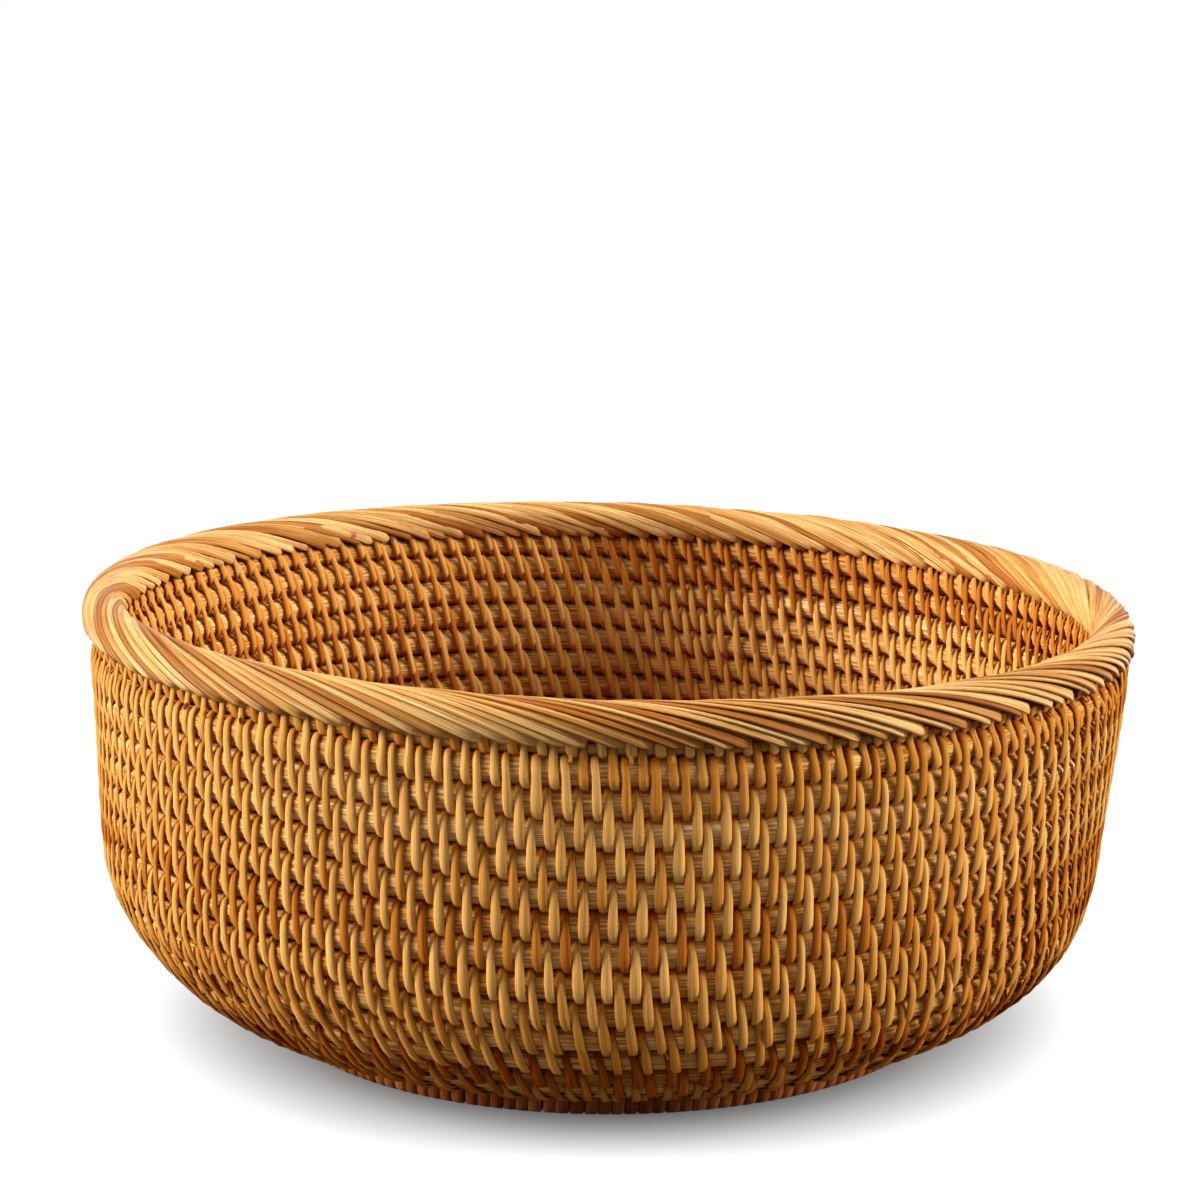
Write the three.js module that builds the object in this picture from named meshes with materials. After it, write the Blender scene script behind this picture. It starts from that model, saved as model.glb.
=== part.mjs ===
// Round coiled rattan basket, in millimetres, +Z up. It stands on its foot, with the origin on the floor
// under its middle. A rod, spliced from several lengths, winds in a flat spiral from the middle of the base,
// runs up a sloping floor and a bend, and climbs the wall round by round. Its last round is whittled away to
// nothing, so that the rim sits evenly on the coil. The rim is a hoop lapped with strips of cane, and the foot
// is a smaller lapped hoop under the edge of the base. The cane stitches that sew each round to the next are
// fine weave and aren't solids here: the seams between the rounds keep the room that they take.
import * as THREE from 'three';

const { degToRad, lerp } = THREE.MathUtils;

// Driving dimensions: rim
const rimOuterRadius = 150;
const rimSeatHeight = 113.8;
const rimCoreDiameter = 8.2;
const rimLappingThickness = 1.5;
const rimSkirt = 0.3;
const rimTilt = degToRad(1.5);

// Driving dimensions: coil of the wall
const wallRodDiameter = 6.95;
const wallLean = degToRad(4.4);
const wallBendRadius = 46;
const floorSlope = degToRad(12.5);
const coilEndAngle = degToRad(-20);
const coilTipDiameter = 1.2;

// Driving dimensions: coil of the base
const baseRadius = 98.3;
const baseBendRadius = 25;
const baseRodDiameter = 4.55;

// Driving dimensions: foot
const footInset = 3.5;
const footCoreDiameter = 5.2;
const footLappingThickness = 1.1;
const footSkirt = 1.6;
const footFlat = 0.7;

// Clearances: seamGap is the room that the stitches take, fitGap lies between pieces that touch
const seamGap = 1.05;
const fitGap = 0.3;

// Rods that the coil is spliced from, all of them about 1.1 m long
const baseRodCount = 5;
const wallRodCount = 13;

// Facets
const stepsPerRound = 24;
const innerRounds = 4;
const innerStride = 2;
const hoopSteps = 48;
const lappingArcSteps = 6;
const coilSides = 6;
const hoopSides = 8;

// Sizes that follow from these
const rimHalfWidth = rimCoreDiameter / 2 + fitGap + rimLappingThickness;
const rimRadius = rimOuterRadius - rimHalfWidth;
const coilTop = rimSeatHeight - fitGap;
const footRadius = baseRadius - footInset;
const footHalfWidth = footCoreDiameter / 2 + fitGap + footLappingThickness;
const footCoreHeight = footHalfWidth - footFlat;
const footHeight = footCoreHeight + footCoreDiameter / 2 + footSkirt;
const coilCornerShare = 1 / Math.cos(Math.PI / coilSides);
const baseHeight = footHeight + fitGap + (baseRodDiameter / 2) * coilCornerShare;

// The line that the rod's middle follows, as radius and height: flat base, bend at its edge, sloping floor, bend
// into the wall, and leaning wall. The wall's bend is an arc that touches the floor line, which passes under the
// base's edge, and the wall line, which ends under the rim. It is no wider than these two leave room for.
const baseEdge = new THREE.Vector2(baseRadius, baseHeight);
const wallTop = new THREE.Vector2(rimRadius, coilTop);
const floorDirection = new THREE.Vector2(Math.cos(floorSlope), Math.sin(floorSlope));
const wallDirection = new THREE.Vector2(Math.sin(wallLean), Math.cos(wallLean));
const floorInward = new THREE.Vector2(-floorDirection.y, floorDirection.x);
const wallInward = new THREE.Vector2(-wallDirection.y, wallDirection.x);
const baseBendRun = baseBendRadius * Math.tan(floorSlope / 2);
const flatRadius = baseRadius - baseBendRun;
const wallCorner = meetingPoint(baseEdge, floorDirection, wallTop, wallDirection);
const wallBendRoom = Math.min(wallCorner.distanceTo(baseEdge) - baseBendRun, wallCorner.distanceTo(wallTop));
const widestWallBend = wallBendRoom / Math.tan((Math.PI / 2 - wallLean - floorSlope) / 2);
const wallBend = Math.min(wallBendRadius, widestWallBend);
const wallBendCentre = meetingPoint(
  baseEdge.clone().addScaledVector(floorInward, wallBend), floorDirection,
  wallTop.clone().addScaledVector(wallInward, wallBend), wallDirection,
);
const coilStart = baseRodDiameter / 2 + seamGap;
const straightDown = -Math.PI / 2;
const line = new THREE.Path();
line.moveTo(0, baseHeight);
line.lineTo(coilStart, baseHeight);
line.absarc(flatRadius, baseHeight + baseBendRadius, baseBendRadius, straightDown, straightDown + floorSlope);
line.absarc(wallBendCentre.x, wallBendCentre.y, wallBend, straightDown + floorSlope, -wallLean);
line.lineTo(wallTop.x, wallTop.y);
const lineLength = line.getLength();

function meetingPoint(pointA, directionA, pointB, directionB) {
  const between = pointB.clone().sub(pointA);
  const distance = between.cross(directionB) / directionA.cross(directionB);
  return pointA.clone().addScaledVector(directionA, distance);
}

// Where the line is at a distance from the axis along it, and which way it runs there
function lineAt(distance) {
  let rest = distance;
  let stretch = line.curves[0];
  for (const next of line.curves.slice(1)) {
    if (rest > stretch.getLength()) {
      rest -= stretch.getLength();
      stretch = next;
    }
  }
  const share = Math.min(rest / stretch.getLength(), 1);
  return { middle: stretch.getPointAt(share), along: stretch.getTangentAt(share) };
}

// The coil, counted in turns from its start at the middle of the base. The first round of the wall grows from
// the base rod's thickness to its own, and the last round thins to nothing, so all seams are alike.
const basePitch = baseRodDiameter + seamGap;
const wallPitch = wallRodDiameter + seamGap;
const growingPitch = (basePitch + wallPitch) / 2;
const thinningPitch = wallPitch - wallRodDiameter / 2;
const baseTurns = (baseRadius - coilStart) / basePitch;
const growingEnd = baseTurns + 1;
const fullTurns = (lineLength - baseRadius - growingPitch - thinningPitch) / wallPitch;
const thinningStart = growingEnd + fullTurns;
const vanishingTurn = thinningStart + 1;
const tipTurn = vanishingTurn - coilTipDiameter / wallRodDiameter;

function distanceAlongLine(turn) {
  if (turn <= baseTurns) {
    return coilStart + basePitch * turn;
  }
  if (turn <= growingEnd) {
    return baseRadius + growingPitch * (turn - baseTurns);
  }
  if (turn <= thinningStart) {
    return baseRadius + growingPitch + wallPitch * (turn - growingEnd);
  }
  return lineLength - thinningPitch * (vanishingTurn - turn);
}

function rodRadius(turn) {
  if (turn <= baseTurns) {
    return baseRodDiameter / 2;
  }
  if (turn <= growingEnd) {
    return lerp(baseRodDiameter, wallRodDiameter, turn - baseTurns) / 2;
  }
  if (turn <= thinningStart) {
    return wallRodDiameter / 2;
  }
  return (wallRodDiameter / 2) * (vanishingTurn - turn);
}

// The wall leans with the rim, which sits a little lower towards +X: none at the base, all of it at the rim
function tiltDrop(x, height) {
  const share = Math.max(0, (height - baseHeight) / (rimSeatHeight - baseHeight));
  return x * Math.tan(rimTilt) * share;
}

// A tube's section at one place: its middle, and the two directions across it, each one rod radius long
function section(angle, spot, radius) {
  const around = new THREE.Vector3(Math.cos(angle), Math.sin(angle), 0);
  const middle = around.clone().multiplyScalar(spot.middle.x).setZ(spot.middle.y);
  const outward = around.clone().multiplyScalar(spot.along.y).setZ(-spot.along.x).multiplyScalar(radius);
  const across = around.clone().multiplyScalar(-spot.along.x).setZ(-spot.along.y).multiplyScalar(radius);
  return { middle, outward, across };
}

function coilSection(turn) {
  const angle = coilEndAngle + 2 * Math.PI * (turn - tipTurn);
  const place = section(angle, lineAt(distanceAlongLine(turn)), rodRadius(turn));
  place.middle.z -= tiltDrop(place.middle.x, place.middle.z);
  return place;
}

// A curve through sections, which gives an extrusion their places and their sizes
class SectionCurve extends THREE.Curve {
  constructor(sections) {
    super();
    this.sections = sections;
  }

  getPoint(share) {
    return this.sections[Math.round(share * (this.sections.length - 1))].middle.clone();
  }

  getPointAt(share) {
    return this.getPoint(share);
  }

  computeFrenetFrames() {
    return {
      tangents: this.sections.map((place) => place.outward.clone().cross(place.across).normalize()),
      normals: this.sections.map((place) => place.outward),
      binormals: this.sections.map((place) => place.across),
    };
  }
}

function polygon(sides, cornerRadius) {
  const corners = [];
  for (let side = 0; side < sides; side += 1) {
    const angle = (2 * Math.PI * side) / sides;
    corners.push(new THREE.Vector2(Math.cos(angle), Math.sin(angle)).multiplyScalar(cornerRadius));
  }
  return corners;
}

function tube(sections, outline) {
  return new THREE.ExtrudeGeometry(new THREE.Shape(outline), {
    steps: sections.length - 1,
    bevelEnabled: false,
    extrudePath: new SectionCurve(sections),
  });
}

// The coil's rod has six sides: flats face the next round, and an edge points out of the wall
const coilOutline = polygon(coilSides, coilCornerShare);

// The coil's steps are counted back from its tip, so that all rounds have their edges at the same angles
function turnOfStep(step) {
  return tipTurn - step / stepsPerRound;
}

const firstStep = Math.floor(tipTurn * stepsPerRound);
const wallStartStep = Math.round((tipTurn - baseTurns) * stepsPerRound);

function coilSteps(fromStep, toStep) {
  const steps = [];
  for (let step = fromStep; step >= toStep; step -= 1) {
    const coarse = turnOfStep(step) < innerRounds && step % innerStride !== 0;
    if (!coarse || step === fromStep || step === toStep) {
      steps.push(step);
    }
  }
  return steps;
}

function lengthBetween(stepA, stepB) {
  return coilSection(turnOfStep(stepA)).middle.distanceTo(coilSection(turnOfStep(stepB)).middle);
}

// Splits a stretch of the coil into rods of about equal length
function spliceSteps(fromStep, toStep, count) {
  const steps = coilSteps(fromStep, toStep);
  const lengths = steps.slice(1).map((step, index) => lengthBetween(steps[index], step));
  const total = lengths.reduce((sum, length) => sum + length, 0);
  const splices = [fromStep];
  let run = 0;
  lengths.forEach((length, index) => {
    run += length;
    const due = (total * splices.length) / count;
    if (run >= due && splices.length < count) {
      splices.push(steps[index + 1]);
    }
  });
  splices.push(toStep);
  return splices;
}

// One rod of the coil, cut back at both ends by half the gap of a splice
function coilRod(fromStep, toStep) {
  const turns = coilSteps(fromStep, toStep).map(turnOfStep);
  const cutBack = (turn) => fitGap / 2 / (2 * Math.PI * lineAt(distanceAlongLine(turn)).middle.x);
  turns[0] += cutBack(turns[0]);
  turns[turns.length - 1] -= cutBack(turns[turns.length - 1]);
  return tube(turns.map(coilSection), coilOutline);
}

// The coil's least gap to itself, between the edges of each round and those of the round outside it
function leastSeam() {
  const edges = (turn) => {
    const { middle, outward, across } = coilSection(turn);
    return coilOutline.map((corner) => middle.clone()
      .addScaledVector(outward, corner.x).addScaledVector(across, corner.y));
  };
  let least = Infinity;
  for (let step = stepsPerRound; step <= firstStep; step += 1) {
    const outer = edges(turnOfStep(step - stepsPerRound));
    edges(turnOfStep(step)).forEach((point) => {
      outer.forEach((other) => {
        least = Math.min(least, point.distanceTo(other));
      });
    });
  }
  return least;
}

// A hoop: one rod bent round with its ends brought together
function hoop(radius, height, diameter) {
  const spot = { middle: new THREE.Vector2(radius, height), along: new THREE.Vector2(0, 1) };
  const cutBack = fitGap / 2 / radius;
  const sections = [];
  for (let step = 0; step <= hoopSteps; step += 1) {
    const angle = (2 * Math.PI * step) / hoopSteps;
    const trimmed = Math.min(Math.max(angle, cutBack), 2 * Math.PI - cutBack);
    sections.push(section(trimmed, spot, diameter / 2));
  }
  return tube(sections, polygon(hoopSides, 1));
}

function turned(points) {
  const closed = [...points, points[0].clone()];
  return new THREE.LatheGeometry(closed, hoopSteps).rotateX(Math.PI / 2);
}

function arc(centreRadius, centreHeight, radius, fromAngle, toAngle) {
  const points = [];
  for (let step = 0; step <= lappingArcSteps; step += 1) {
    const angle = lerp(fromAngle, toAngle, step / lappingArcSteps);
    points.push(new THREE.Vector2(
      centreRadius + radius * Math.cos(angle), centreHeight + radius * Math.sin(angle)));
  }
  return points;
}

// The rim's lapping: strips of cane over the core and down both sides, open below towards the coil
function rimLapping() {
  const coreHeight = rimSkirt + rimCoreDiameter / 2;
  const innerHalfWidth = rimHalfWidth - rimLappingThickness;
  return turned([
    new THREE.Vector2(rimRadius + rimHalfWidth, 0),
    ...arc(rimRadius, coreHeight, rimHalfWidth, 0, Math.PI),
    new THREE.Vector2(rimRadius - rimHalfWidth, 0),
    new THREE.Vector2(rimRadius - innerHalfWidth, 0),
    ...arc(rimRadius, coreHeight, innerHalfWidth, Math.PI, 0),
    new THREE.Vector2(rimRadius + innerHalfWidth, 0),
  ]);
}

// The foot's lapping: strips of cane under the core and up both sides, pressed flat where it stands
function footLapping() {
  const innerHalfWidth = footHalfWidth - footLappingThickness;
  const flatAngle = Math.asin(footCoreHeight / footHalfWidth);
  return turned([
    new THREE.Vector2(footRadius - footHalfWidth, footHeight),
    ...arc(footRadius, footCoreHeight, footHalfWidth, Math.PI, Math.PI + flatAngle),
    ...arc(footRadius, footCoreHeight, footHalfWidth, -flatAngle, 0),
    new THREE.Vector2(footRadius + footHalfWidth, footHeight),
    new THREE.Vector2(footRadius + innerHalfWidth, footHeight),
    ...arc(footRadius, footCoreHeight, innerHalfWidth, 0, -Math.PI),
    new THREE.Vector2(footRadius - innerHalfWidth, footHeight),
  ]);
}

function piece(name, geometry, colour, roughness) {
  const material = new THREE.MeshStandardMaterial({ color: colour, roughness, metalness: 0 });
  const mesh = new THREE.Mesh(geometry, material);
  mesh.name = name;
  return mesh;
}

const straw = 0xc8a064;
const redBrown = 0x9a5c30;
const goldenCane = 0xc98f45;
const darkCane = 0x6a3c1e;
const rodRoughness = 0.7;
const caneRoughness = 0.5;

// Assembly
const basket = new THREE.Group();

const baseSplices = spliceSteps(firstStep, wallStartStep, baseRodCount);
baseSplices.slice(1).forEach((step, index) => {
  const rod = coilRod(baseSplices[index], step);
  basket.add(piece(`base_rod_${index + 1}`, rod, redBrown, rodRoughness));
});

const wallSplices = spliceSteps(wallStartStep, 0, wallRodCount);
wallSplices.slice(1).forEach((step, index) => {
  const number = String(index + 1).padStart(2, '0');
  const rod = coilRod(wallSplices[index], step);
  basket.add(piece(`wall_rod_${number}`, rod, straw, rodRoughness));
});

const foot = new THREE.Group();
foot.add(piece('foot_core_rod', hoop(footRadius, footCoreHeight, footCoreDiameter), straw, rodRoughness));
foot.add(piece('foot_lapping', footLapping(), darkCane, caneRoughness));
basket.add(foot);

const rim = new THREE.Group();
const rimCoreHeight = rimSkirt + rimCoreDiameter / 2;
rim.add(piece('rim_core_rod', hoop(rimRadius, rimCoreHeight, rimCoreDiameter), straw, rodRoughness));
rim.add(piece('rim_lapping', rimLapping(), goldenCane, caneRoughness));
rim.position.z = rimSeatHeight;
rim.rotation.y = rimTilt;
basket.add(rim);

console.log(`least seam between rounds of the coil: ${leastSeam().toFixed(2)} mm`);

export default basket;
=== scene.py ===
# %% [markdown]
# # A coiled rattan basket
# The basket is one long rod of rattan, wound from the middle of the base up to the rim, and sewn round
# by round with split cane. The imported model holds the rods, the rim and the foot as plain solids. Here
# they are dressed: round rods with a grain, the stitches that sew them, the slanting strips of the rim
# and the dark ones of the foot.

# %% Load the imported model
import math
import random

import bmesh
import bpy
from mathutils import Matrix, Vector


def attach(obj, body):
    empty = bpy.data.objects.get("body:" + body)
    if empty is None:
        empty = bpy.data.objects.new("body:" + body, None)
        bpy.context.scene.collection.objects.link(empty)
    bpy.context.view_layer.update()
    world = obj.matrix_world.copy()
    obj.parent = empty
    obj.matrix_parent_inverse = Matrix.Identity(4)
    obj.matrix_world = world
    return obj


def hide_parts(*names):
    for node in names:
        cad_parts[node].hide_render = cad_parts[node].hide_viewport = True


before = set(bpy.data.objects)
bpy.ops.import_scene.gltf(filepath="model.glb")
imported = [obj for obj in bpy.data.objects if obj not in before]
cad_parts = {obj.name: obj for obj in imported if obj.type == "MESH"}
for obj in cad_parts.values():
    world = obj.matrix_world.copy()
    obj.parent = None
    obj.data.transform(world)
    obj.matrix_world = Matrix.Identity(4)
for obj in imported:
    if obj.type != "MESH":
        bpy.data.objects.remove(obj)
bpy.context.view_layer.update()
MM = 0.001

# %% [markdown]
# ## The line of the coil
# Cut the basket through its middle, and the rounds of the rod sit on one line: a flat base, a bend, a
# sloping floor, a second bend and a leaning wall. Drawing that line first, with the sizes of the packed
# model, gives every later step a simple address on the basket: an angle, a distance along the line and an
# offset out of it.

# %% Sizes of the basket
RIM_OUTER_RADIUS = 150 * MM
RIM_SEAT_HEIGHT = 113.8 * MM
RIM_CORE_DIAMETER = 8.2 * MM
RIM_LAPPING = 1.5 * MM
RIM_SKIRT = 0.3 * MM
RIM_TILT = math.radians(1.5)
WALL_ROD = 6.95 * MM
WALL_LEAN = math.radians(4.4)
WALL_BEND_RADIUS = 46 * MM
FLOOR_SLOPE = math.radians(12.5)
COIL_END_ANGLE = math.radians(-20)
COIL_TIP = 1.2 * MM
BASE_RADIUS = 98.3 * MM
BASE_BEND_RADIUS = 25 * MM
BASE_ROD = 4.55 * MM
FOOT_INSET = 3.5 * MM
FOOT_CORE = 5.2 * MM
FOOT_LAPPING = 1.1 * MM
FOOT_SKIRT = 1.6 * MM
FOOT_FLAT = 0.7 * MM
SEAM = 1.05 * MM
FIT = 0.3 * MM
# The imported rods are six-sided. A corner lies this far round from the middle of a flat.
FLAT_TO_CORNER = math.radians(30)
RIM_HALF_WIDTH = RIM_CORE_DIAMETER / 2 + FIT + RIM_LAPPING
RIM_RADIUS = RIM_OUTER_RADIUS - RIM_HALF_WIDTH
FOOT_RADIUS = BASE_RADIUS - FOOT_INSET
FOOT_HALF_WIDTH = FOOT_CORE / 2 + FIT + FOOT_LAPPING
FOOT_CORE_HEIGHT = FOOT_HALF_WIDTH - FOOT_FLAT
FOOT_HEIGHT = FOOT_CORE_HEIGHT + FOOT_CORE / 2 + FOOT_SKIRT
BASE_HEIGHT = FOOT_HEIGHT + FIT + BASE_ROD / 2 / math.cos(FLAT_TO_CORNER)
print("foot height in mm:", round(FOOT_HEIGHT / MM, 2), "base height:", round(BASE_HEIGHT / MM, 2))

# %% Straights and bends
DOWN = -math.pi / 2


def straight(start, end):
    direction = (end - start).normalized()
    return (end - start).length, lambda run: (start + direction * run, direction)


def bend(centre, radius, start_angle, end_angle):
    def at(run):
        angle = start_angle + run / radius
        aim = Vector((math.cos(angle), math.sin(angle)))
        return centre + aim * radius, Vector((-aim.y, aim.x))
    return radius * (end_angle - start_angle), at


def meeting_point(point_a, direction_a, point_b, direction_b):
    distance = (point_b - point_a).cross(direction_b) / direction_a.cross(direction_b)
    return point_a + direction_a * distance


floor_direction = Vector((math.cos(FLOOR_SLOPE), math.sin(FLOOR_SLOPE)))
wall_direction = Vector((math.sin(WALL_LEAN), math.cos(WALL_LEAN)))
print("the floor climbs by", round(floor_direction.y, 3), "and the wall by", round(wall_direction.y, 3))

# %% Stretches of the line
floor_start = Vector((BASE_RADIUS, BASE_HEIGHT))
flat_end = Vector((BASE_RADIUS - BASE_BEND_RADIUS * math.tan(FLOOR_SLOPE / 2), BASE_HEIGHT))
wall_top = Vector((RIM_RADIUS, RIM_SEAT_HEIGHT - FIT))
base_centre = flat_end + Vector((0, BASE_BEND_RADIUS))
wall_centre = meeting_point(
    floor_start + floor_direction.orthogonal() * WALL_BEND_RADIUS, floor_direction,
    wall_top + wall_direction.orthogonal() * WALL_BEND_RADIUS, wall_direction)
base_bend = bend(base_centre, BASE_BEND_RADIUS, DOWN, DOWN + FLOOR_SLOPE)
wall_bend = bend(wall_centre, WALL_BEND_RADIUS, DOWN + FLOOR_SLOPE, -WALL_LEAN)
stretches = [
    straight(Vector((0, BASE_HEIGHT)), flat_end),
    base_bend,
    straight(base_bend[1](base_bend[0])[0], wall_bend[1](0)[0]),
    wall_bend,
    straight(wall_bend[1](wall_bend[0])[0], wall_top),
]
LINE_LENGTH = sum(length for length, at in stretches)
print("length of the line in mm:", round(LINE_LENGTH / MM, 2))

# %% An address on the basket
# The wall was coiled by hand: low down it bulges a little more on one side than on the other.
BELLY_SHIFT = 2.2 * MM
BELLY_LOW = 20 * MM
BELLY_HEIGHT = 48 * MM
BELLY_HIGH = 105 * MM


def line_at(distance):
    for length, at in stretches[:-1]:
        if distance <= length:
            return at(distance)
        distance -= length
    return stretches[-1][1](distance)


def tilt_drop(x, height):
    share = max(0, (height - BASE_HEIGHT) / (RIM_SEAT_HEIGHT - BASE_HEIGHT))
    return x * math.tan(RIM_TILT) * share


def eased(value, low, high):
    share = min(max((value - low) / (high - low), 0), 1)
    return share * share * (3 - 2 * share)


def belly_shift(height):
    rise = eased(height, BELLY_LOW, BELLY_HEIGHT)
    fall = eased(height, BELLY_HEIGHT, BELLY_HIGH)
    return BELLY_SHIFT * rise * (1 - fall)


def basket_point(angle, distance, offset):
    middle, along = line_at(distance)
    radius = middle.x + along.y * offset
    height = middle.y - along.x * offset
    x = radius * math.cos(angle)
    y = radius * math.sin(angle)
    return Vector((x - belly_shift(height), y, height - tilt_drop(x, height)))


print("top of the wall at the front in mm:", [round(c / MM, 1) for c in basket_point(DOWN, LINE_LENGTH, 0)])

# %% [markdown]
# ## The rounds of the coil
# The rod climbs by one pitch in each turn. It is thin in the base, grows in the first turn of the wall,
# and is whittled away in the last one, so that the rim can sit level on a spiral. Counting in turns from
# the middle of the base makes the rod one smooth function, and the round across a seam is always one turn
# away.

# %% Turns of the coil
COIL_START = BASE_ROD / 2 + SEAM
BASE_PITCH = BASE_ROD + SEAM
WALL_PITCH = WALL_ROD + SEAM
GROWING_PITCH = (BASE_PITCH + WALL_PITCH) / 2
THINNING_PITCH = WALL_PITCH - WALL_ROD / 2
BASE_TURNS = (BASE_RADIUS - COIL_START) / BASE_PITCH
GROWING_END = BASE_TURNS + 1
THINNING_START = GROWING_END + (LINE_LENGTH - BASE_RADIUS - GROWING_PITCH - THINNING_PITCH) / WALL_PITCH
VANISHING = THINNING_START + 1
TIP = VANISHING - COIL_TIP / WALL_ROD


def coil_angle(turn):
    return COIL_END_ANGLE + math.tau * (turn - TIP)


def coil_distance(turn):
    if turn <= BASE_TURNS:
        return COIL_START + BASE_PITCH * turn
    if turn <= GROWING_END:
        return BASE_RADIUS + GROWING_PITCH * (turn - BASE_TURNS)
    if turn <= THINNING_START:
        return BASE_RADIUS + GROWING_PITCH + WALL_PITCH * (turn - GROWING_END)
    return LINE_LENGTH - THINNING_PITCH * (VANISHING - turn)


def rod_radius(turn):
    if turn <= BASE_TURNS:
        return BASE_ROD / 2
    if turn <= GROWING_END:
        return (BASE_ROD + (WALL_ROD - BASE_ROD) * (turn - BASE_TURNS)) / 2
    if turn <= THINNING_START:
        return WALL_ROD / 2
    return WALL_ROD / 2 * (VANISHING - turn)


print("turns in the base:", round(BASE_TURNS, 2), "turns in all:", round(TIP, 2))

# %% [markdown]
# ## Laying a rod or a strip
# Every piece of this basket is something long and thin that is laid along a path. Curves with a bevel
# could do that, but each strip here swells, narrows and leans by its own rule. So a flat grid is made by
# its operator, rolled up so that its length follows the path and its width goes round the section, and
# welded where the two long edges meet. The grid also carries a UV map, whose second number runs round the
# section, and every ring may be darkened more on some sides than on others: painted shade where a piece
# meets its neighbours in the seams and at the edges of the strips.

# %% Lay a grid along a path
def new_work():
    bm = bmesh.new()
    bm.loops.layers.uv.new("section")
    bm.verts.layers.float.new("along")
    bm.verts.layers.float.new("tone")
    return bm


def lay(bm, rings, alongs, tones, side_shades):
    along_layer = bm.verts.layers.float["along"]
    tone_layer = bm.verts.layers.float["tone"]
    sides = len(rings[0])
    grid = bmesh.ops.create_grid(bm, x_segments=len(rings) - 1, y_segments=sides, size=0.5, calc_uvs=True)
    for number, vert in enumerate(grid["verts"]):
        row, column = divmod(number, len(rings))
        vert.co = rings[column][row % sides]
        vert[along_layer] = alongs[column]
        vert[tone_layer] = tones[column] + side_shades[row % sides]


sample = new_work()
print("a piece carries:", sample.loops.layers.uv.keys() + sample.verts.layers.float.keys())
sample.free()

# %% Weld and finish a piece
WELD = 0.001 * MM


def finish_piece(bm, name, material, nodes=()):
    bmesh.ops.remove_doubles(bm, verts=bm.verts, dist=WELD)
    bmesh.ops.holes_fill(bm, edges=[edge for edge in bm.edges if edge.is_boundary], sides=0)
    bmesh.ops.recalc_face_normals(bm, faces=bm.faces)
    mesh = bpy.data.meshes.new(name)
    bm.to_mesh(mesh)
    bm.free()
    mesh.shade_smooth()
    mesh.materials.append(material)
    piece = bpy.data.objects.new(name, mesh)
    bpy.context.collection.objects.link(piece)
    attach(piece, "root")
    if nodes:
        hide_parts(*nodes)
    return piece


print("points closer than this are welded, in mm:", round(WELD / MM, 4))

# %% [markdown]
# ## Fibres
# Rattan is a bundle of straight fibres. Whether it is a round rod or a split strip, fine lines run along
# it, and the colour drifts slowly from one stretch to the next. One node group gives both as values: it
# reads how far along the piece and how far round it a point lies, and stretches a noise so that it turns
# into lines.

# %% Fibre node group
LINE_DETAIL = 3
LINE_ROUGHNESS = 0.6
LINE_DARK = 0.4
LINE_LIGHT = 0.6
DRIFT_SCALE = 0.35
DRIFT_DETAIL = 2


def multiply(tree, first, second):
    product = tree.nodes.new("ShaderNodeMath")
    product.operation = "MULTIPLY"
    tree.links.new(first, product.inputs[0])
    tree.links.new(second, product.inputs[1])
    return product.outputs[0]


def make_fibre_group():
    group = bpy.data.node_groups.new("rattan_fibre", "ShaderNodeTree")
    for name, default in (("Across", 0), ("Along", 0), ("Strands", 30), ("Run", 60)):
        socket = group.interface.new_socket(name, in_out="INPUT", socket_type="NodeSocketFloat")
        socket.default_value = default
    for name in ("Lines", "Drift"):
        group.interface.new_socket(name, in_out="OUTPUT", socket_type="NodeSocketFloat")
    nodes, links = group.nodes, group.links
    entry = nodes.new("NodeGroupInput")
    leave = nodes.new("NodeGroupOutput")
    stretch = nodes.new("ShaderNodeCombineXYZ")
    links.new(multiply(group, entry.outputs["Across"], entry.outputs["Strands"]), stretch.inputs[0])
    links.new(multiply(group, entry.outputs["Along"], entry.outputs["Run"]), stretch.inputs[1])
    fine = nodes.new("ShaderNodeTexNoise")
    fine.inputs["Scale"].default_value = 1
    fine.inputs["Detail"].default_value = LINE_DETAIL
    fine.inputs["Roughness"].default_value = LINE_ROUGHNESS
    links.new(stretch.outputs[0], fine.inputs["Vector"])
    lines = nodes.new("ShaderNodeMapRange")
    lines.inputs["From Min"].default_value = LINE_DARK
    lines.inputs["From Max"].default_value = LINE_LIGHT
    links.new(fine.outputs[0], lines.inputs["Value"])
    links.new(lines.outputs[0], leave.inputs["Lines"])
    broad = nodes.new("ShaderNodeTexNoise")
    broad.inputs["Scale"].default_value = DRIFT_SCALE
    broad.inputs["Detail"].default_value = DRIFT_DETAIL
    links.new(stretch.outputs[0], broad.inputs["Vector"])
    links.new(broad.outputs[0], leave.inputs["Drift"])
    return group


fibre_group = make_fibre_group()
fibre_outputs = [item.name for item in fibre_group.interface.items_tree if item.in_out == "OUTPUT"]
print("fibre group outputs:", fibre_outputs)

# %% [markdown]
# ## Rattan and cane
# The rods are the peeled core of the plant, straw coloured and matt. The strips are split from its skin,
# golden to red-brown, and no two alike. Both materials read the piece's own numbers: its UV round the
# section, and the attributes that say how far along a point lies and how dark it is, which is the tone of
# its stretch of cane with the painted shade of seams, edges and the low wall added. A ramp turns that
# darkness into a colour, and the lines of the fibres tint it, dull it and give it relief.

# %% From tone to colour
DRIFT_DEPTH = 0.35
LIGHTEST_TONE = 0.15


def linear(red, green, blue):
    def channel(value):
        share = value / 255
        return share / 12.92 if share <= 0.04045 else ((share + 0.055) / 1.055) ** 2.4
    return (channel(red), channel(green), channel(blue), 1)


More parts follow.
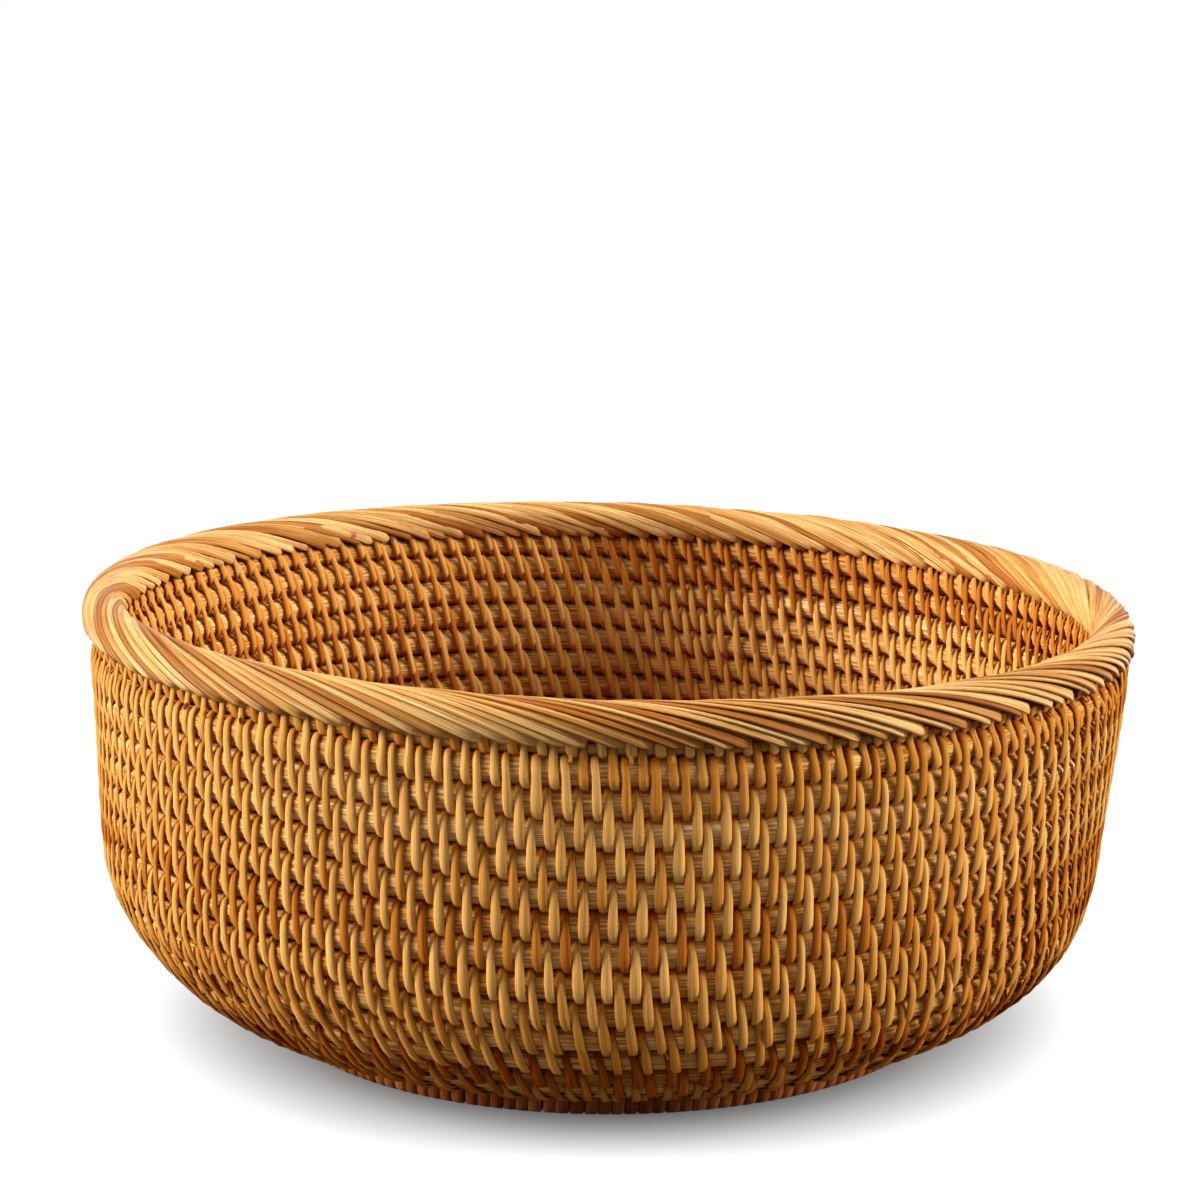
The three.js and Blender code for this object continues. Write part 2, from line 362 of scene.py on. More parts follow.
def toned_colour(tree, drift, colours):
    nodes, links = tree.nodes, tree.links
    tone = nodes.new("ShaderNodeAttribute")
    tone.attribute_name = "tone"
    darkness = nodes.new("ShaderNodeMath")
    darkness.operation = "MULTIPLY_ADD"
    darkness.inputs[1].default_value = DRIFT_DEPTH
    links.new(drift, darkness.inputs[0])
    links.new(tone.outputs["Fac"], darkness.inputs[2])
    ramp = nodes.new("ShaderNodeValToRGB")
    elements = ramp.color_ramp.elements
    while len(elements) < len(colours):
        elements.new(0.5)
    for number, colour in enumerate(colours):
        elements[number].position = LIGHTEST_TONE + (1 - LIGHTEST_TONE) * number / (len(colours) - 1)
        elements[number].color = linear(*colour)
    links.new(darkness.outputs[0], ramp.inputs[0])
    return ramp.outputs["Color"]


print("straw in linear light:", [round(value, 3) for value in linear(252, 216, 152)])

# %% Material maker
LINE_TINT = (0.48, 0.28, 0.1, 1)
SHINE_TINT = (1, 0.85, 0.6, 1)
DULLER_LINES = 0.12
LINE_RELIEF = 0.1 * MM


def line_range(tree, lines, at_line, between):
    level = tree.nodes.new("ShaderNodeMapRange")
    level.inputs["To Min"].default_value = at_line
    level.inputs["To Max"].default_value = between
    tree.links.new(lines, level.inputs["Value"])
    return level.outputs[0]


def make_rattan(name, colours, strands, run, line_depth, roughness, bump, shine):
    material = bpy.data.materials.new(name)
    material.use_nodes = True
    tree = material.node_tree
    nodes, links = tree.nodes, tree.links
    shader = nodes["Principled BSDF"]
    shader.inputs["Specular IOR Level"].default_value = shine
    shader.inputs["Specular Tint"].default_value = SHINE_TINT
    place = nodes.new("ShaderNodeUVMap")
    place.uv_map = "section"
    split = nodes.new("ShaderNodeSeparateXYZ")
    links.new(place.outputs[0], split.inputs[0])
    along = nodes.new("ShaderNodeAttribute")
    along.attribute_name = "along"
    fibre = nodes.new("ShaderNodeGroup")
    fibre.node_tree = fibre_group
    fibre.inputs["Strands"].default_value = strands
    fibre.inputs["Run"].default_value = run
    links.new(split.outputs[1], fibre.inputs["Across"])
    links.new(along.outputs["Fac"], fibre.inputs["Along"])
    lines = fibre.outputs["Lines"]
    tint = nodes.new("ShaderNodeMix")
    tint.data_type = "RGBA"
    tint.blend_type = "MULTIPLY"
    factor, plain, line_tint = tint.inputs[0], tint.inputs[6], tint.inputs[7]
    line_tint.default_value = LINE_TINT
    links.new(line_range(tree, lines, line_depth, 0), factor)
    links.new(toned_colour(tree, fibre.outputs["Drift"], colours), plain)
    links.new(tint.outputs[2], shader.inputs["Base Color"])
    links.new(line_range(tree, lines, roughness + DULLER_LINES, roughness), shader.inputs["Roughness"])
    relief = nodes.new("ShaderNodeBump")
    relief.inputs["Strength"].default_value = bump
    relief.inputs["Distance"].default_value = LINE_RELIEF
    links.new(lines, relief.inputs["Height"])
    links.new(relief.outputs[0], shader.inputs["Normal"])
    return material


print("height of a fibre in mm:", round(LINE_RELIEF / MM, 2))

# %% Finishes
wall_rod_finish = make_rattan(
    "wall_rod_finish", colours=[(252, 216, 152), (214, 154, 78), (150, 80, 18), (78, 26, 2)],
    strands=46, run=35, line_depth=0.95, roughness=0.45, bump=0.7, shine=0)
base_rod_finish = make_rattan(
    "base_rod_finish", colours=[(206, 132, 62), (178, 102, 40), (134, 66, 22), (88, 34, 8)],
    strands=40, run=90, line_depth=0.7, roughness=0.55, bump=0.5, shine=0.05)
stitch_finish = make_rattan(
    "stitch_finish", colours=[(238, 184, 102), (210, 140, 56), (168, 84, 18), (112, 42, 4)],
    strands=26, run=40, line_depth=0.6, roughness=0.42, bump=0.3, shine=0)
rim_finish = make_rattan(
    "rim_finish", colours=[(242, 200, 132), (214, 160, 86), (170, 100, 34), (104, 48, 8)],
    strands=22, run=30, line_depth=0.8, roughness=0.36, bump=0.45, shine=0.08)
foot_finish = make_rattan(
    "foot_finish", colours=[(206, 124, 62), (168, 90, 36), (112, 52, 14)],
    strands=13, run=60, line_depth=0.6, roughness=0.42, bump=0.4, shine=0.05)
print("finishes:", [item.name for item in bpy.data.materials if item.name.endswith("_finish")])

# %% [markdown]
# ## Rods
# A rod of rattan reaches little more than once round the wall, so the coil is spliced from many. Each rod
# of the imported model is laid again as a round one, from splice to splice. The splices are found as there:
# at equal lengths, on steps that are counted back from the tip.

# %% Splices
STEPS_PER_ROUND = 24
BASE_RODS = 5
WALL_RODS = 13


def first_place(values, least):
    return next(place for place, value in enumerate(values) if value >= least)


def splices(first_step, last_step, count):
    turns = [TIP - step / STEPS_PER_ROUND for step in range(first_step, last_step - 1, -1)]
    points = [basket_point(coil_angle(turn), coil_distance(turn), 0) for turn in turns]
    runs = [0]
    for here, following in zip(points, points[1:]):
        runs.append(runs[-1] + (following - here).length)
    shares = [runs[-1] * number / count for number in range(count + 1)]
    return [turns[first_place(runs, share - WELD)] for share in shares]


first_step = math.floor(TIP * STEPS_PER_ROUND)
wall_step = round((TIP - BASE_TURNS) * STEPS_PER_ROUND)
base_splices = splices(first_step, wall_step, BASE_RODS)
wall_splices = splices(wall_step, 0, WALL_RODS)
print("splices in turns:", [round(turn, 2) for turn in base_splices + wall_splices[1:]])

# %% Section and painted seam shade of a rod
# The rods are squeezed together: they take up the seam that the imported solids keep for the stitches.
SQUEEZE = 0.555 * MM
ROD_SIDES = 12
# The sides of a rod that face the seams above and below are darkened: painted shade where the rounds meet.
ROD_SEAM_SHADE = 0.42
SEAM_SHADE_FOCUS = 8
# Rods and stitches are darkened towards the foot: painted shade on the lower wall, which turns away from the
# lamps.
LOW_WALL_SHADE = 0.22
FULL_SHADE_BELOW = 14 * MM
NO_SHADE_ABOVE = 65 * MM
rod_seam_shades = [ROD_SEAM_SHADE * math.sin(math.tau * side / ROD_SIDES) ** SEAM_SHADE_FOCUS for side in range(ROD_SIDES)]


def rod_ring(turn):
    angle, distance, radius = coil_angle(turn), coil_distance(turn), rod_radius(turn) + SQUEEZE
    ring = []
    for side in range(ROD_SIDES):
        aim = math.tau * side / ROD_SIDES
        ring.append(basket_point(angle, distance + radius * math.sin(aim), radius * math.cos(aim)))
    return ring


def low_wall_shade(height):
    return LOW_WALL_SHADE * (1 - eased(height, FULL_SHADE_BELOW, NO_SHADE_ABOVE))


print("stain round a rod:", [round(painted_shade, 2) for painted_shade in rod_seam_shades])

# %% Round rods
ROD_STEPS = 96
DARKEST_ROD = 0.25
rng = random.Random(3)


def lay_rod(name, first, last, material, slot):
    count = round((last - first) * ROD_STEPS)
    turns = [first + (last - first) * number / count for number in range(count + 1)]
    rings = [rod_ring(turn) for turn in turns]
    alongs = [turn * math.tau * line_at(coil_distance(turn))[0].x for turn in turns]
    tone = rng.uniform(0, DARKEST_ROD)
    tones = [tone + low_wall_shade(line_at(coil_distance(turn))[0].y) for turn in turns]
    bm = new_work()
    lay(bm, rings, alongs, tones, rod_seam_shades)
    return finish_piece(bm, "round_" + name, material, [name])


base_rods = [
    lay_rod(f"base_rod_{number + 1}", *base_splices[number:number + 2], base_rod_finish, "base_rod")
    for number in range(BASE_RODS)]
wall_rods = [
    lay_rod(f"wall_rod_{number + 1:02d}", *wall_splices[number:number + 2], wall_rod_finish, "wall_rod")
    for number in range(WALL_RODS)]
print("rods laid:", len(base_rods) + len(wall_rods))

# %% [markdown]
# ## Where the stitches go
# The sewer works outwards from the middle. Each new stitch is set a little to one side of a stitch in the
# round below, so the columns lean evenly round the basket. Where the round grows too long for its
# stitches, one is squeezed in between. The sewer looks at a few neighbours at a time, so the spacing soon
# evens out. The same rule lays out the fine stitches of the base and the broad ones of the wall.

# %% Stitch layout
NEIGHBOURS = 5
EVENING_PASSES = 8
FIRST_ROUND_ROOM = 1.9


def round_length(turn):
    return math.tau * line_at(coil_distance(min(turn, VANISHING)))[0].x


def lay_out(first, last, pitch, slip):
    def step(turn):
        return pitch(turn) / round_length(turn)

    turns = [first]
    while len(turns) <= NEIGHBOURS or turns[-1] < turns[NEIGHBOURS] + 1 - FIRST_ROUND_ROOM * step(turns[-1]):
        turns.append(turns[-1] + step(turns[-1]))
    parent, debt = NEIGHBOURS, 0
    while turns[-1] < last:
        near = turns[parent - NEIGHBOURS:parent + NEIGHBOURS + 1]
        gap = (near[-1] - near[0]) / (2 * NEIGHBOURS)
        child = sum(near) / len(near) + 1 - slip(turns[parent]) * gap
        turns.append(child)
        debt += gap / step(child) - 1
        if debt >= 1:
            turns.append(child + gap / 2)
            debt -= 1
        parent += 1
    for _ in range(EVENING_PASSES):
        inner = [(before + 2 * here + after) / 4 for before, here, after in zip(turns, turns[1:], turns[2:])]
        turns = [turns[0]] + inner + [turns[-1]]
    return turns


print("length of the last round in mm:", round(round_length(TIP) / MM))

# %% Stitches of the wall and the base
WIDE_PITCH = 8.2 * MM
CLOSE_PITCH = 6.8 * MM
CLOSING_FROM = 136 * MM
CLOSING_TO = 154 * MM
UPRIGHT = math.radians(4)
SLANTING = math.radians(8)
BASE_STITCH_PITCH = 3.9 * MM
BASE_STITCHES_FROM = 0.5
BASE_STITCHES_TO = BASE_TURNS - 0.01
SIDE_BY_SIDE = 0.34


def wall_closing(turn):
    return eased(coil_distance(min(turn, VANISHING)), CLOSING_FROM, CLOSING_TO)


def wall_pitch(turn):
    return WIDE_PITCH + (CLOSE_PITCH - WIDE_PITCH) * wall_closing(turn)


def wall_slant(turn):
    return SLANTING + (UPRIGHT - SLANTING) * wall_closing(turn)


def wall_slip(turn):
    return SIDE_BY_SIDE + WALL_PITCH * math.tan(wall_slant(turn)) / wall_pitch(turn)


def base_pitch(turn):
    return BASE_STITCH_PITCH


def base_slant(turn):
    return SLANTING


def base_slip(turn):
    return SIDE_BY_SIDE + BASE_PITCH * math.tan(SLANTING) / BASE_STITCH_PITCH


wall_turns = lay_out(BASE_TURNS, TIP + 1, wall_pitch, wall_slip)
base_turns = lay_out(BASE_STITCHES_FROM, BASE_STITCHES_TO, base_pitch, base_slip)
print("stitches in the wall:", len(wall_turns), "in the base:", len(base_turns))

# %% [markdown]
# ## Sewing
# A stitch goes down the outside over two rounds, through the seam below them, slants up the inside, and
# comes out through the seam above for the next stitch. So the strip of one round is a single long spring
# that is squeezed flat against the wall. It is narrow where it leaves a seam, broadest where it lies over
# the round below, and there it lifts over the strips of the earlier row.

# %% Path of a stitch
ROUNDING = 0.62
RIM_CORE_DISTANCE = LINE_LENGTH + FIT + RIM_SKIRT + RIM_CORE_DIAMETER / 2
RIM_GRIP = 2.2 * MM
CENTRE_GRIP = 0.2 * MM
BEDDED = 0.4
ROD_TO_ROD = (0.2, 0.8)


def signed_power(value, power):
    return math.copysign(abs(value) ** power, value)


def rod_above(turn):
    if turn > TIP:
        return RIM_CORE_DISTANCE, RIM_GRIP
    return coil_distance(turn), rod_radius(turn)


def rod_below(turn):
    if turn < 1:
        return COIL_START / 2, CENTRE_GRIP
    return coil_distance(turn - 1), rod_radius(turn - 1)


def stitch_spot(turn, swing, thickness, lift):
    high, high_radius = rod_above(turn)
    low, low_radius = rod_below(turn)
    top = high + high_radius + SEAM / 2
    bottom = low - low_radius - SEAM / 2
    share = (1 - signed_power(math.cos(swing), ROUNDING)) / 2
    rod = high_radius + (low_radius - high_radius) * eased(share, *ROD_TO_ROD)
    bulge = signed_power(math.sin(swing), ROUNDING)
    offset = bulge * (rod + SQUEEZE + BEDDED * thickness + lift)
    return top + (bottom - top) * share, offset


print("the last stitches reach along the line to, in mm:", round((RIM_CORE_DISTANCE + RIM_GRIP) / MM, 1))

# %% Section of a strip
STRIP_SECTION = [(1, 0.1), (0.76, 0.76), (0, 1), (-0.76, 0.76), (-1, 0.1), (0, -0.3)]


# The long edges of a strip are darkened: painted shade where strips meet side by side.
def edge_shades(painted_shade):
    return [painted_shade if abs(x) == 1 else 0 for x, y in STRIP_SECTION]


def strip_ring(middle, ahead, outward, width, thickness):
    side = ahead.cross(outward).normalized()
    up = side.cross(ahead).normalized()
    return [middle + side * (width / 2 * x) + up * (thickness * y) for x, y in STRIP_SECTION]


def uneven(share):
    return rng.uniform(1 - share, 1 + share)


print("sides of a strip:", len(STRIP_SECTION))

# %% One stitch
OUTSIDE_STEPS = 9
INSIDE_STEPS = 6
NARROW = 0.8
BROADENING = 0.2
BROADENS = (0.35, 0.6)
TUCKING = 0.14
TUCKS = (0.88, 1)
OUTSIDE_LIFT = 0.65
INSIDE_LIFT = 0.5
LIFTS = (0.3, 0.7)
# Strips are darkened where they leave and enter a seam: painted shade. Tone and painted shade together stop
# at the deepest tone.
SEAM_SHADE = 0.4
DEEPEST_SHADED_TONE = 0.75
LEAVES_SEAM = (0, 0.35)
ENTERS_SEAM = (0.85, 1)
IN_SEAM = 0.5 * MM
NUDGE = 1 * MM


def facing_spot(turn, swing, thickness, lift, angle):
    distance, offset = stitch_spot(turn, swing, thickness, lift)
    middle = basket_point(angle, distance, offset)
    if abs(offset) < IN_SEAM:
        push = NUDGE if swing < math.pi else -NUDGE
        return middle, basket_point(angle, distance + push, offset) - middle
    bulged = stitch_spot(turn, swing, thickness, lift + NUDGE)
    return middle, basket_point(angle, *bulged) - middle


def stitch_spots(turn, following, lean, width, thickness, tone):
    spots = []
    for step in range(OUTSIDE_STEPS + INSIDE_STEPS):
        outside = step < OUTSIDE_STEPS
        part = step / OUTSIDE_STEPS if outside else (step - OUTSIDE_STEPS) / INSIDE_STEPS
        down = (1 - math.cos(math.pi * part)) / 2
        if outside:
            swing = math.pi * part
            place = turn + lean * (down - 0.5)
            shape = NARROW + BROADENING * eased(part, *BROADENS) - TUCKING * eased(part, *TUCKS)
            lift = OUTSIDE_LIFT * thickness * eased(part, *LIFTS)
        else:
            swing = math.pi * (part + 1)
            start, end = turn + lean / 2, following - lean / 2
            place = start + (end - start) * down
            shape = NARROW
            lift = INSIDE_LIFT * thickness * eased(1 - part, *LIFTS)
        middle, outward = facing_spot(turn, swing, thickness, lift, coil_angle(place))
        # Painted shade of the seam and of the low wall is added to the strip's own tone.
        seam_share = 1 - eased(part, *LEAVES_SEAM) + eased(part, *ENTERS_SEAM)
        painted_shade = SEAM_SHADE * seam_share + low_wall_shade(middle.z)
        spots.append((middle, outward, width * shape, min(tone + painted_shade, DEEPEST_SHADED_TONE)))
    return spots


print("rings in one stitch:", OUTSIDE_STEPS + INSIDE_STEPS)

# %% A row of stitches
LEAN_SPREAD = 0.02
STITCH_SPREAD = 0.12
# Painted shade along the edges of the wall's stitches.
STITCH_EDGE_SHADE = 0.08


def sew(bm, turns, tones, slant, width, thickness):
    spots = []
    for turn, following, tone in zip(turns, turns[1:], tones):
        span = rod_above(turn)[0] - rod_below(turn)[0] + WALL_PITCH
        lean = span * math.tan(slant(turn) + rng.gauss(0, LEAN_SPREAD)) / round_length(turn)
        spots += stitch_spots(turn, following, lean, width * uneven(STITCH_SPREAD), thickness, tone)
    rings, alongs, shades, run = [], [], [], 0
    for number, (middle, outward, broad, tone) in enumerate(spots):
        before = spots[max(number - 1, 0)][0]
        after = spots[min(number + 1, len(spots) - 1)][0]
        rings.append(strip_ring(middle, after - before, outward, broad, thickness))
        run += (middle - before).length
        alongs.append(run)
        shades.append(tone)
    lay(bm, rings, alongs, shades, edge_shades(STITCH_EDGE_SHADE))


print("stain round a stitch:", edge_shades(STITCH_EDGE_SHADE))

# %% Tones along a row
# One strip of cane makes a few dozen stitches, and its colour drifts a little from end to end.
FEWEST_STITCHES = 15
MOST_STITCHES = 45
CANE_TONES = [0, 0.05, 0.05, 0.1, 0.1, 0.1, 0.15, 0.15, 0.25, 0.45]
CANE_CHANGES = [-0.1, -0.05, 0, 0.05, 0.1, 0.2]
TONE_SPREAD = 0.03
DARKEST_CANE = 0.42


def cane_tones(count):
    tones = []
    while len(tones) < count:
        length = rng.randint(FEWEST_STITCHES, MOST_STITCHES)
        start = rng.choice(CANE_TONES)
        end = start + rng.choice(CANE_CHANGES)
        drift = [start + (end - start) * number / length for number in range(length)]
        tones += [tone + rng.gauss(0, TONE_SPREAD) for tone in drift]
    return [min(tone, DARKEST_CANE) for tone in tones[:count]]


print("mean tone at the start of a strip:", round(sum(CANE_TONES) / len(CANE_TONES), 2))

# %% Sew the wall
STITCH_WIDTH = 2.75 * MM
STITCH_THICKNESS = 0.7 * MM
wall_tones = cane_tones(len(wall_turns))
wall_rows = []
row_count = round(TIP + 1 - BASE_TURNS)
row_starts = [first_place(wall_turns, BASE_TURNS + number) for number in range(row_count)]
row_ends = row_starts[1:] + [len(wall_turns) - 1]
for number, (start, end) in enumerate(zip(row_starts, row_ends)):
    bm = new_work()
    sew(bm, wall_turns[start:end + 1], wall_tones[start:end + 1], wall_slant, STITCH_WIDTH, STITCH_THICKNESS)
    wall_rows.append(finish_piece(bm, f"wall_stitches_{number + 1:02d}", stitch_finish))
print("rows of stitches:", len(wall_rows), "triangles in the last:", 2 * len(wall_rows[-1].data.polygons))

# %% Sew the base
# The base is darker, and its many fine stitches make two pieces, an inner and an outer one.
BASE_STITCH_WIDTH = 2 * MM
BASE_STITCH_THICKNESS = 0.8 * MM
BASE_TONE = 0.3
BASE_TONE_SHARE = 0.5
base_tones = [BASE_TONE + BASE_TONE_SHARE * tone for tone in cane_tones(len(base_turns))]
base_halves = []
half_way = len(base_turns) // 2
for number, (start, end) in enumerate([(0, half_way), (half_way, len(base_turns) - 1)]):
    bm = new_work()
    sew(bm, base_turns[start:end + 1], base_tones[start:end + 1], base_slant,
        BASE_STITCH_WIDTH, BASE_STITCH_THICKNESS)
    base_halves.append(finish_piece(bm, f"base_stitches_{number + 1}", stitch_finish))
print("faces in the base's stitches:", [len(piece.data.polygons) for piece in base_halves])

# %% [markdown]
# ## Cut ends
# A strip of cane is soon used up. It is cut off where it leaves the seam, and here and there the end has
# curled up on the outside, mostly under the rim. Each end is a short strip, laid along a tight bend.

# %% Curled ends
CURLS = 44
CURL_STEPS = 8
CURL_RADIUS = 0.8 * MM
CURL_SPREAD = 0.3
CURL_SWING = 1.6 * math.pi
CURL_WIDTH = 0.9 * MM
CURL_THICKNESS = 0.25 * MM
CURL_DRIFT = 1.2 * MM
CURL_REST = 0.6
CURL_TONE = 0.4
LOWEST_CURL = BASE_TURNS + 1
RIM_CURL = TIP - 1.5
HIGHEST_CURL = TIP - 0.4


def lay_curl(bm, turn, tone):
    seam = coil_distance(turn) + rod_radius(turn) + SEAM / 2
    rest = CURL_REST * rod_radius(turn) + SQUEEZE
    size = CURL_RADIUS * uneven(CURL_SPREAD)
    drift = rng.uniform(-1, 1) * CURL_DRIFT / RIM_OUTER_RADIUS
    angle = coil_angle(turn)
    centre = basket_point(angle, seam, rest + size)
    spots = []
    for step in range(CURL_STEPS + 1):
        part = step / CURL_STEPS
        swing = CURL_SWING * part
        distance = seam - size * math.sin(swing)
        offset = rest + size * (1 - math.cos(swing))
        spots.append(basket_point(angle + drift * part, distance, offset))
    rings = []
    for before, here, after in zip(spots[:1] + spots, spots, spots[1:] + spots[-1:]):
        rings.append(strip_ring(here, after - before, here - centre, CURL_WIDTH, CURL_THICKNESS))
    lay(bm, rings, [step * MM for step in range(len(rings))], [tone] * len(rings), edge_shades(0))


bm = new_work()
for number in range(CURLS):
    lowest = LOWEST_CURL if number % 2 else RIM_CURL
    lay_curl(bm, rng.uniform(lowest, HIGHEST_CURL), rng.uniform(0, CURL_TONE))
cut_ends = finish_piece(bm, "cut_ends", stitch_finish)
print("cut ends:", CURLS, "faces:", len(cut_ends.data.polygons))

# %% [markdown]
# ## Rim
# The rim is a thick hoop, covered with flat strips that lie aslant, like the strands of a rope. Each strip
# starts under the inner edge, runs almost level over the top, steepens as it comes down the outside and
# ends blunt under the outer edge. The strips overlap like shingles, so each one is turned a little about
# its own length.

# %% A point on the rim
rim_turn = Matrix.Translation((0, 0, RIM_SEAT_HEIGHT)) @ Matrix.Rotation(RIM_TILT, 4, "Y")
rim_core_height = RIM_SKIRT + RIM_CORE_DIAMETER / 2


def rim_outline(share, radius):
    quarter = radius * math.pi / 2
    run = abs(share) * (quarter + rim_core_height)
    if run < quarter:
        aim = run / radius
        x, y = radius * math.sin(aim), radius * math.cos(aim)
    else:
        x, y = radius, quarter - run
    return math.copysign(x, share), rim_core_height + y


def rim_point(angle, share, radius):
    x, height = rim_outline(share, radius)
    around = RIM_RADIUS + x
    return rim_turn @ Vector((around * math.cos(angle), around * math.sin(angle), height))


print("top of the rim at the front in mm:", [round(c / MM, 1) for c in rim_point(DOWN, 0, RIM_HALF_WIDTH)])

# %% Rim strips
RIM_STRIPS = 138
RIM_STEPS = 22
RIM_SWEEP = 45 * MM
RIM_SWEEP_SPREAD = 0.04
RIM_STRIP_WIDTH = 3.4 * MM
RIM_WIDTH_SPREAD = 0.15
RIM_STRIP_THICKNESS = 0.85 * MM
RIM_SINK = 0.45 * MM
RIM_ROLL = math.radians(-16)
RIM_ROLL_SPREAD = 0.5
RIM_TUCK = 1.6 * MM
RIM_TUCKS = (0.88, 1)
RIM_NARROW = 0.75
RIM_BROADENING = 0.4
RIM_BROADENS = (0.1, 0.75)
RIM_END_NARROWING = 0.35
# Painted shade along the edges of the rim strips.
RIM_EDGE_SHADE = 0.5
GRAIN_RANGE = 9


def lay_rim_strip(bm, angle, tone):
    spots = []
    radius = RIM_HALF_WIDTH - RIM_STRIP_THICKNESS - rng.uniform(0, RIM_SINK)
    sweep = RIM_SWEEP * uneven(RIM_SWEEP_SPREAD)
    width = RIM_STRIP_WIDTH * uneven(RIM_WIDTH_SPREAD)
    roll = RIM_ROLL * uneven(RIM_ROLL_SPREAD)
    for step in range(RIM_STEPS + 1):
        share = 2 * step / RIM_STEPS - 1
        here = angle + sweep * (share + math.sin(share * math.pi / 2)) / 2 / RIM_RADIUS
        ending = eased(abs(share), *RIM_TUCKS)
        tuck = radius - RIM_TUCK * ending
        shape = RIM_NARROW + RIM_BROADENING * eased(abs(share), *RIM_BROADENS) - RIM_END_NARROWING * ending
        spots.append((rim_point(here, share, tuck), rim_point(here, share, tuck + NUDGE), width * shape))
    rings, alongs, run = [], [], rng.uniform(0, GRAIN_RANGE)
    for step, (middle, raised, broad) in enumerate(spots):
        before = spots[max(step - 1, 0)][0]
        after = spots[min(step + 1, RIM_STEPS)][0]
        ahead = (after - before).normalized()
        outward = Matrix.Rotation(roll, 3, ahead) @ (raised - middle)
        rings.append(strip_ring(middle, ahead, outward, broad, RIM_STRIP_THICKNESS))
        run += (middle - before).length
        alongs.append(run)
    lay(bm, rings, alongs, [tone] * len(rings), edge_shades(RIM_EDGE_SHADE))


rim_strip_spacing = math.tau * RIM_RADIUS / RIM_STRIPS
print("strips side by side along one sweep of the rim:", round(2 * RIM_SWEEP / rim_strip_spacing))

# %% Lay the rim strips
RIM_TONES = [0, 0, 0.05, 0.15, 0.25, 0.45]
RIM_TONE_SPREAD = 0.05
RIM_PLACE_SPREAD = 0.18
bm = new_work()
for number in range(RIM_STRIPS):
    tone = rng.choice(RIM_TONES) + rng.gauss(0, RIM_TONE_SPREAD)
    place = number + rng.uniform(-RIM_PLACE_SPREAD, RIM_PLACE_SPREAD)
    lay_rim_strip(bm, math.tau * place / RIM_STRIPS, tone)
rim_strips = finish_piece(bm, "rim_strips", rim_finish, ["rim_lapping"])
print("rim strips:", RIM_STRIPS, "faces:", len(rim_strips.data.polygons))

# %% [markdown]
# ## Cores
# Under the strips of the rim and the foot lies a plain hoop. It only shows as a dark line between strips,
# whose dark tone is painted shade of those gaps, but a hollow rim would let light through. A circle is spun
# round the basket's axis.

# %% Spun hoops
HOOP_SIDES = 12
HOOP_STEPS = 96
# The hoops are given a dark tone: painted shade of the gaps between the strips over them.
HOOP_SHADE_TONE = 0.75
RIM_CORE_SAG = 0.6 * MM


def spin_hoop(name, radius, height, section_radius, place, node):
    bm = new_work()
    upright = Matrix.Translation((radius, 0, height)) @ Matrix.Rotation(math.pi / 2, 4, "X")
    circle = bmesh.ops.create_circle(bm, segments=HOOP_SIDES, radius=section_radius, matrix=upright)
    edges = list({edge for vert in circle["verts"] for edge in vert.link_edges})
    bmesh.ops.spin(bm, geom=circle["verts"] + edges, cent=(0, 0, 0), axis=(0, 0, 1), angle=math.tau,
                   steps=HOOP_STEPS, use_merge=True)
    bmesh.ops.transform(bm, matrix=place, verts=bm.verts)
    tone_layer = bm.verts.layers.float["tone"]
    for vert in bm.verts:
        vert[tone_layer] = HOOP_SHADE_TONE
    return finish_piece(bm, name, wall_rod_finish, [node])


rim_core = spin_hoop("round_rim_core", RIM_RADIUS, rim_core_height - RIM_CORE_SAG,
                     RIM_CORE_DIAMETER / 2 + SQUEEZE, rim_turn, "rim_core_rod")
foot_core = spin_hoop("round_foot_core", FOOT_RADIUS, FOOT_CORE_HEIGHT,
                      FOOT_CORE / 2, Matrix.Identity(4), "foot_core_rod")
print("hoops:", rim_core.name, foot_core.name)

# %% [markdown]
# ## Foot
# The foot is a smaller hoop under the edge of the base, wound closely with dark strips that stand upright,
# side by side. They are pressed flat where the basket stands.

# %% Foot strips
FOOT_STRIPS = 170
FOOT_STEPS = 14
FOOT_STRIP_THICKNESS = 1.4 * MM
FOOT_OVERLAP = 1.12
FOOT_STRIP_WIDTH = math.tau * (FOOT_RADIUS + FOOT_HALF_WIDTH) / FOOT_STRIPS * FOOT_OVERLAP
FOOT_WIDTH_SPREAD = 0.06
FOOT_SLANT = 1 * MM
FOOT_PROUD = 1.5 * MM
# Painted shade along the edges of the foot strips.
FOOT_EDGE_SHADE = 0.35
GLANCE = 0.05


def foot_point(angle, share, radius):
    quarter = radius * math.pi / 2
    side = FOOT_HEIGHT - FOOT_CORE_HEIGHT
    run = abs(share) * (quarter + side)
    if run < quarter:
        aim = run / radius
        x, y = radius * math.sin(aim), -radius * math.cos(aim)
    else:
        x, y = radius, run - quarter
    around = FOOT_RADIUS + FOOT_PROUD + math.copysign(x, share)
    return Vector((around * math.cos(angle), around * math.sin(angle), FOOT_CORE_HEIGHT + y))


